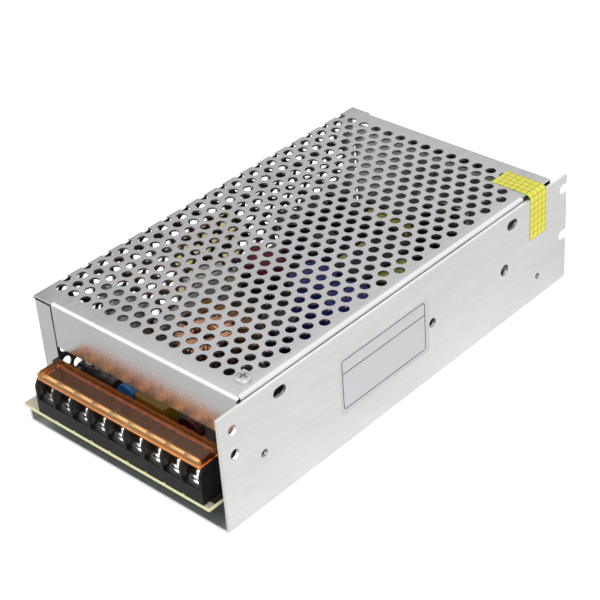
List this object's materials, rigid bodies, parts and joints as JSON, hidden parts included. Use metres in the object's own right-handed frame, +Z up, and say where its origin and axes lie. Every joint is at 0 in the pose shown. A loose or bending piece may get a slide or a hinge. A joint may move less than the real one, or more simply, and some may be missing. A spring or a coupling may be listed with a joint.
{
  "type": "led power supply",
  "caption": "Enclosed switching power supply: folded metal tray, perforated cover, and a screw terminal block under a hinged translucent lid at one end.",
  "frame": {"origin": "underside of the chassis floor, below the middle of the terminal block and half way along the case", "axes": "+Z up off the floor, +Y along the length away from the terminal end, +X out of the full side wall"},
  "size_m": [0.1065, 0.2021, 0.0528],
  "materials": {
    "chassis_metal": "satin",
    "cover_metal": "satin",
    "screw_metal": "satin",
    "board_laminate": "matte",
    "black_moulding": "satin",
    "tin_plate": "gloss",
    "amber_plastic": "gloss",
    "label_paper": "satin",
    "yellow_tape": "gloss",
    "cream_paper": "satin",
    "white_ceramic": "matte",
    "blue_coating": "gloss",
    "red_coating": "gloss",
    "yellow_plastic": "gloss",
    "heatsink_metal": "satin",
    "ferrite": "matte",
    "copper": "gloss",
    "tan_coating": "gloss",
    "blue_sleeve": "gloss",
    "navy_sleeve": "gloss",
    "maroon_tape": "satin",
    "black_plastic": "satin"
  },
  "bodies": {
    "case": {"chassis": "chassis_metal", "cover": "cover_metal", "cover_screw": "screw_metal", "circuit_board": "board_laminate", "board_standoffs": "screw_metal", "board_screws": "screw_metal", "terminal_block": "black_moulding", "terminal_contacts": "tin_plate", "terminal_clamps": "tin_plate", "terminal_screws": "tin_plate", "fuse": "white_ceramic", "fuse_clips": "tin_plate", "suppressor_capacitor": "blue_coating", "mains_capacitor": "yellow_plastic", "varistor": "red_coating", "bridge_heatsink": "heatsink_metal", "bridge_rectifier": "black_plastic", "choke_core": "ferrite", "choke_winding": "copper", "film_capacitor": "tan_coating", "start_capacitor": "navy_sleeve", "bulk_capacitor_right": "blue_sleeve", "bulk_capacitor_left": "blue_sleeve", "cement_resistor": "white_ceramic", "driver_transformer": "maroon_tape", "transformer_core": "ferrite", "transformer_bobbin": "black_plastic", "transformer_winding": "yellow_tape", "aux_bobbin": "black_plastic", "aux_winding": "yellow_tape", "switch_heatsink": "heatsink_metal", "switch_transistors": "black_plastic", "rectifier_heatsink": "heatsink_metal", "rectifiers": "black_plastic", "label": "label_paper", "side_sticker": "cream_paper", "seal_tape": "yellow_tape", "output_capacitor_1": "black_plastic", "output_capacitor_2": "black_plastic", "output_capacitor_3": "black_plastic", "output_capacitor_4": "black_plastic"},
    "lid": {"terminal_cover": "amber_plastic"}
  },
  "joints": [
    {"name": "terminal_cover_hinge", "type": "hinge", "parent": "case", "child": "lid", "pos_m": [0, -0.0909, 0.0266], "axis": [-1, 0, 0], "range_deg": [0, 70]}
  ]
}
